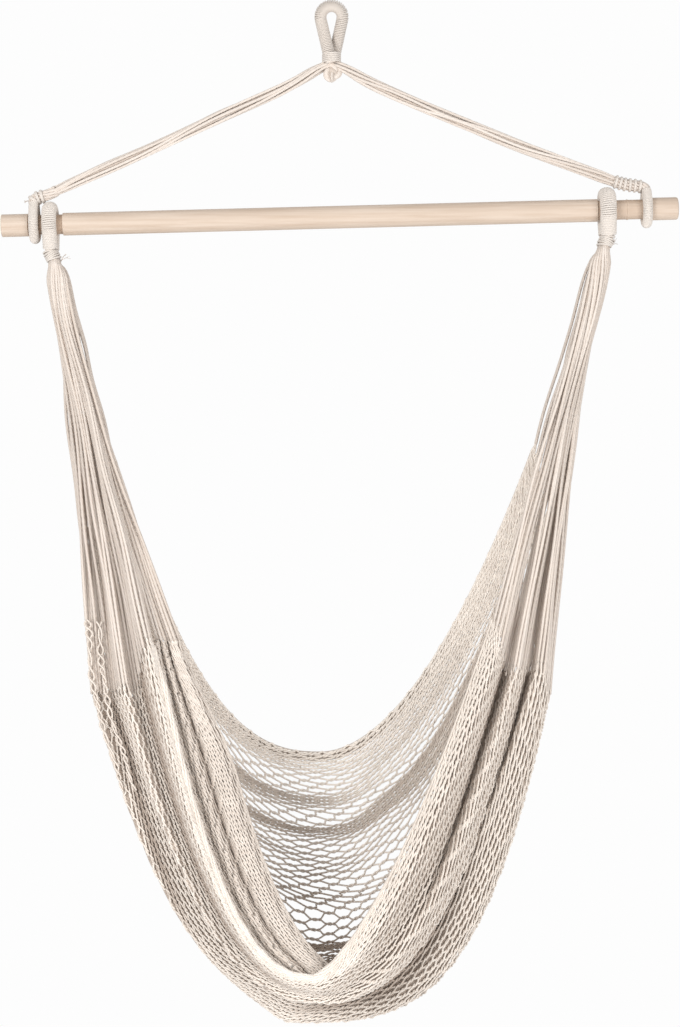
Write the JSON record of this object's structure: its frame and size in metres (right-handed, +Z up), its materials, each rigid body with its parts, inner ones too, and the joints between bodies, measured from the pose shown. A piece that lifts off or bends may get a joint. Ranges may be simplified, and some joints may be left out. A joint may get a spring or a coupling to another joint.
{
  "type": "hammock chair",
  "caption": "Hanging hammock chair: an open cotton net seat slung by fans of cords from a wooden spreader bar, with a corded yoke and a whipped rope loop for a hook.",
  "frame": {"origin": "inside top of the hanging loop, where a hook bears", "axes": "+Z up along the hanging line, +X along the spreader bar to the right as the sitter's front is seen, -Y towards the open front of the seat"},
  "size_m": [0.9004, 0.2824, 1.3613],
  "materials": {
    "bar_wood": "sanded, unfinished pale hardwood",
    "cotton_rope": "natural cotton rope",
    "cotton_whipping": "natural cotton cord, tightly wound",
    "cotton_cord": "natural cotton cord, plied",
    "cotton_net": "natural cotton cord, knitted into an open net"
  },
  "bodies": {
    "hook_loop": {"hanging_loop": "cotton_rope", "loop_whipping": "cotton_whipping", "throat_seizing": "cotton_whipping"},
    "knot": {"yoke_knot": "cotton_rope"},
    "sling": {"knot_sling": "cotton_cord"},
    "yoke": {"yoke_cord_left_1": "cotton_cord", "yoke_cord_left_2": "cotton_cord", "yoke_cord_left_3": "cotton_cord", "yoke_cord_left_4": "cotton_cord", "yoke_cord_right_1": "cotton_cord", "yoke_cord_right_2": "cotton_cord", "yoke_cord_right_3": "cotton_cord", "yoke_cord_right_4": "cotton_cord", "yoke_splice_left": "cotton_rope", "yoke_splice_right": "cotton_rope", "yoke_wrap_left": "cotton_whipping", "yoke_wrap_right": "cotton_whipping", "yoke_eye_left": "cotton_rope", "yoke_eye_right": "cotton_rope", "yoke_tail_left": "cotton_whipping"},
    "bar": {"spreader_bar": "bar_wood"},
    "seat": {"chair_eye_left": "cotton_rope", "chair_eye_right": "cotton_rope", "chair_eye_whipping_left": "cotton_whipping", "chair_eye_whipping_right": "cotton_whipping", "clew_neck_left": "cotton_rope", "clew_neck_right": "cotton_rope", "neck_seizing_left": "cotton_whipping", "neck_seizing_right": "cotton_whipping", "neck_tail_left": "cotton_whipping", "neck_tail_right": "cotton_whipping", "clew_cord_left_1": "cotton_cord", "clew_cord_left_2": "cotton_cord", "clew_cord_left_3": "cotton_cord", "clew_cord_left_4": "cotton_cord", "clew_cord_left_5": "cotton_cord", "clew_cord_left_6": "cotton_cord", "clew_cord_left_7": "cotton_cord", "clew_cord_left_8": "cotton_cord", "clew_cord_left_9": "cotton_cord", "clew_cord_left_10": "cotton_cord", "clew_cord_left_11": "cotton_cord", "clew_cord_left_12": "cotton_cord", "clew_cord_right_1": "cotton_cord", "clew_cord_right_2": "cotton_cord", "clew_cord_right_3": "cotton_cord", "clew_cord_right_4": "cotton_cord", "clew_cord_right_5": "cotton_cord", "clew_cord_right_6": "cotton_cord", "clew_cord_right_7": "cotton_cord", "clew_cord_right_8": "cotton_cord", "clew_cord_right_9": "cotton_cord", "clew_cord_right_10": "cotton_cord", "clew_cord_right_11": "cotton_cord", "clew_cord_right_12": "cotton_cord", "back_selvedge": "cotton_net", "back_net": "cotton_net", "front_net": "cotton_net", "front_selvedge": "cotton_net"}
  },
  "joints": [
    {"name": "loop_turn", "type": "hinge", "parent": "hook_loop", "child": "knot", "pos_m": [0.0007, 0, -0.0803], "axis": [0, 0, 1], "range_deg": [-180, 180]},
    {"name": "fore_aft_swing", "type": "hinge", "parent": "knot", "child": "sling", "pos_m": [0.0007, 0, -0.0803], "axis": [1, 0, 0], "range_deg": [-40, 40]},
    {"name": "side_tilt", "type": "hinge", "parent": "sling", "child": "yoke", "pos_m": [0.0007, 0, -0.0803], "axis": [0, 1, 0], "range_deg": [-15, 15]},
    {"name": "bar_roll", "type": "hinge", "parent": "yoke", "child": "bar", "pos_m": [0.011, 0, -0.273], "axis": [0.9997, 0, 0.0258], "continuous": true},
    {"name": "seat_swing", "type": "hinge", "parent": "yoke", "child": "seat", "pos_m": [0.011, 0, -0.273], "axis": [0.9997, 0, 0.0258], "range_deg": [-45, 45]}
  ]
}
